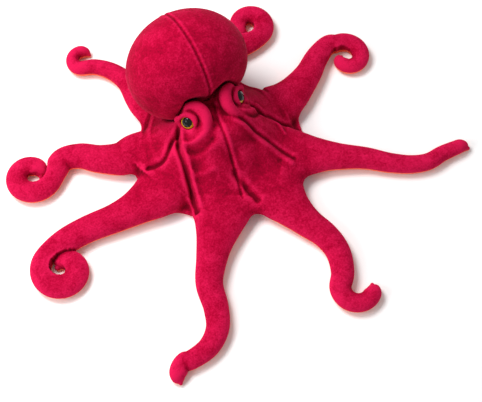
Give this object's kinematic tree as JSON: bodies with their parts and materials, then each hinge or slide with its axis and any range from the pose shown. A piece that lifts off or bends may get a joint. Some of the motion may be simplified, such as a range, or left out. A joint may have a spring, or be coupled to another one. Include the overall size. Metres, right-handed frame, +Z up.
{
  "type": "octopus soft toy",
  "caption": "Stuffed plush octopus with a round mantle, plastic eyes with fabric lids, and curling two-colour arms that lie flat.",
  "frame": {"origin": "on the floor under the middle of the body, on the underside panel", "axes": "+Z up, face towards -Y, mantle over +Y; left in a name is -X, as seen by someone who faces the toy"},
  "size_m": [0.6594, 0.5752, 0.1966],
  "materials": {
    "crimson_plush": "matte",
    "orange_plush": "matte",
    "polyester_fill": "matte",
    "yellow_plastic": "gloss",
    "black_plastic": "gloss",
    "clear_plastic": "satin"
  },
  "bodies": {
    "body": {"face_panel_left": "crimson_plush", "face_panel_right": "crimson_plush", "body_underside": "orange_plush", "body_stuffing": "polyester_fill", "eye_iris_left": "yellow_plastic", "eye_pupil_left": "black_plastic", "eye_washer_left": "clear_plastic", "eyelid_left": "crimson_plush", "brow_left": "crimson_plush", "eye_iris_right": "yellow_plastic", "eye_pupil_right": "black_plastic", "eye_washer_right": "clear_plastic", "eyelid_right": "crimson_plush", "brow_right": "crimson_plush"},
    "mantle": {"mantle_panel_left": "crimson_plush", "mantle_panel_right": "crimson_plush", "mantle_stuffing": "polyester_fill"},
    "arm_1_base": {"arm_1_base_top": "crimson_plush", "arm_1_base_under": "orange_plush", "arm_1_stuffing": "polyester_fill"},
    "arm_1_end": {"arm_1_end_top": "crimson_plush", "arm_1_end_under": "orange_plush"},
    "arm_2_base": {"arm_2_base_top": "crimson_plush", "arm_2_base_under": "orange_plush", "arm_2_stuffing": "polyester_fill"},
    "arm_2_end": {"arm_2_end_top": "crimson_plush", "arm_2_end_under": "orange_plush"},
    "arm_3_base": {"arm_3_base_top": "crimson_plush", "arm_3_base_under": "orange_plush", "arm_3_stuffing": "polyester_fill"},
    "arm_3_end": {"arm_3_end_top": "crimson_plush", "arm_3_end_under": "orange_plush"},
    "arm_4_base": {"arm_4_base_top": "crimson_plush", "arm_4_base_under": "orange_plush", "arm_4_stuffing": "polyester_fill"},
    "arm_4_end": {"arm_4_end_top": "crimson_plush", "arm_4_end_under": "orange_plush"},
    "arm_5_base": {"arm_5_base_top": "crimson_plush", "arm_5_base_under": "orange_plush", "arm_5_stuffing": "polyester_fill"},
    "arm_5_end": {"arm_5_end_top": "crimson_plush", "arm_5_end_under": "orange_plush"},
    "arm_6_base": {"arm_6_base_top": "crimson_plush", "arm_6_base_under": "orange_plush", "arm_6_stuffing": "polyester_fill"},
    "arm_6_end": {"arm_6_end_top": "crimson_plush", "arm_6_end_under": "orange_plush"},
    "arm_7_base": {"arm_7_base_top": "crimson_plush", "arm_7_base_under": "orange_plush", "arm_7_stuffing": "polyester_fill"},
    "arm_7_end": {"arm_7_end_top": "crimson_plush", "arm_7_end_under": "orange_plush"},
    "arm_8_base": {"arm_8_base_top": "crimson_plush", "arm_8_base_under": "orange_plush", "arm_8_stuffing": "polyester_fill"},
    "arm_8_end": {"arm_8_end_top": "crimson_plush", "arm_8_end_under": "orange_plush"}
  },
  "joints": [
    {"name": "mantle_raise", "type": "hinge", "parent": "body", "child": "mantle", "pos_m": [0, 0.017, 0.112], "axis": [1, 0, 0], "range_deg": [0, 40]},
    {"name": "arm_1_lift", "type": "hinge", "parent": "body", "child": "arm_1_base", "pos_m": [-0.05511, 0.0882, 0.025], "axis": [0.848, 0.5299, 0], "range_deg": [-30, 12], "stiffness_Nm_per_rad": 0.2},
    {"name": "arm_1_swing", "type": "hinge", "parent": "arm_1_base", "child": "arm_1_end", "pos_m": [-0.07091, 0.14702, 0.015], "axis": [0, 0, 1], "range_deg": [-25, 25], "stiffness_Nm_per_rad": 0.05, "deforming": ["arm_1_stuffing"]},
    {"name": "arm_2_lift", "type": "hinge", "parent": "body", "child": "arm_2_base", "pos_m": [-0.09833, 0.03386, 0.036], "axis": [0.3256, 0.9455, 0], "range_deg": [-30, 60], "stiffness_Nm_per_rad": 0.2},
    {"name": "arm_2_swing", "type": "hinge", "parent": "arm_2_base", "child": "arm_2_end", "pos_m": [-0.15693, 0.05089, 0.015], "axis": [0, 0, 1], "range_deg": [-24, 24], "stiffness_Nm_per_rad": 0.05, "deforming": ["arm_2_stuffing"]},
    {"name": "arm_3_lift", "type": "hinge", "parent": "body", "child": "arm_3_base", "pos_m": [-0.09643, -0.03896, 0.036], "axis": [-0.3746, 0.9272, 0], "range_deg": [-30, 60], "stiffness_Nm_per_rad": 0.2},
    {"name": "arm_3_swing", "type": "hinge", "parent": "arm_3_base", "child": "arm_3_end", "pos_m": [-0.17914, -0.04544, 0.015], "axis": [0, 0, 1], "range_deg": [-25, 25], "stiffness_Nm_per_rad": 0.05, "deforming": ["arm_3_stuffing"]},
    {"name": "arm_4_lift", "type": "hinge", "parent": "body", "child": "arm_4_base", "pos_m": [-0.05042, -0.09096, 0.036], "axis": [-0.8746, 0.4848, 0], "range_deg": [-30, 60], "stiffness_Nm_per_rad": 0.2},
    {"name": "arm_4_swing", "type": "hinge", "parent": "arm_4_base", "child": "arm_4_end", "pos_m": [-0.09971, -0.16614, 0.015], "axis": [0, 0, 1], "range_deg": [-35, 35], "stiffness_Nm_per_rad": 0.05, "deforming": ["arm_4_stuffing"]},
    {"name": "arm_5_lift", "type": "hinge", "parent": "body", "child": "arm_5_base", "pos_m": [0.02162, -0.10173, 0.036], "axis": [-0.9781, -0.2079, 0], "range_deg": [-30, 60], "stiffness_Nm_per_rad": 0.2},
    {"name": "arm_5_swing", "type": "hinge", "parent": "arm_5_base", "child": "arm_5_end", "pos_m": [0.04177, -0.1832, 0.015], "axis": [0, 0, 1], "range_deg": [-35, 35], "stiffness_Nm_per_rad": 0.05, "deforming": ["arm_5_stuffing"]},
    {"name": "arm_6_lift", "type": "hinge", "parent": "body", "child": "arm_6_base", "pos_m": [0.08195, -0.06403, 0.036], "axis": [-0.6157, -0.788, 0], "range_deg": [-30, 60], "stiffness_Nm_per_rad": 0.2},
    {"name": "arm_6_swing", "type": "hinge", "parent": "arm_6_base", "child": "arm_6_end", "pos_m": [0.15137, -0.12098, 0.015], "axis": [0, 0, 1], "range_deg": [-30, 30], "stiffness_Nm_per_rad": 0.05, "deforming": ["arm_6_stuffing"]},
    {"name": "arm_7_lift", "type": "hinge", "parent": "body", "child": "arm_7_base", "pos_m": [0.10386, 0.00544, 0.036], "axis": [0.0523, -0.9986, 0], "range_deg": [-30, 60], "stiffness_Nm_per_rad": 0.2},
    {"name": "arm_7_swing", "type": "hinge", "parent": "arm_7_base", "child": "arm_7_end", "pos_m": [0.17258, 0.02357, 0.015], "axis": [0, 0, 1], "range_deg": [-25, 25], "stiffness_Nm_per_rad": 0.05, "deforming": ["arm_7_stuffing"]},
    {"name": "arm_8_lift", "type": "hinge", "parent": "body", "child": "arm_8_base", "pos_m": [0.05664, 0.08722, 0.028], "axis": [0.8387, -0.5446, 0], "range_deg": [-30, 12], "stiffness_Nm_per_rad": 0.2},
    {"name": "arm_8_swing", "type": "hinge", "parent": "arm_8_base", "child": "arm_8_end", "pos_m": [0.08897, 0.1175, 0.015], "axis": [0, 0, 1], "range_deg": [-20, 20], "stiffness_Nm_per_rad": 0.05, "deforming": ["arm_8_stuffing"]}
  ]
}
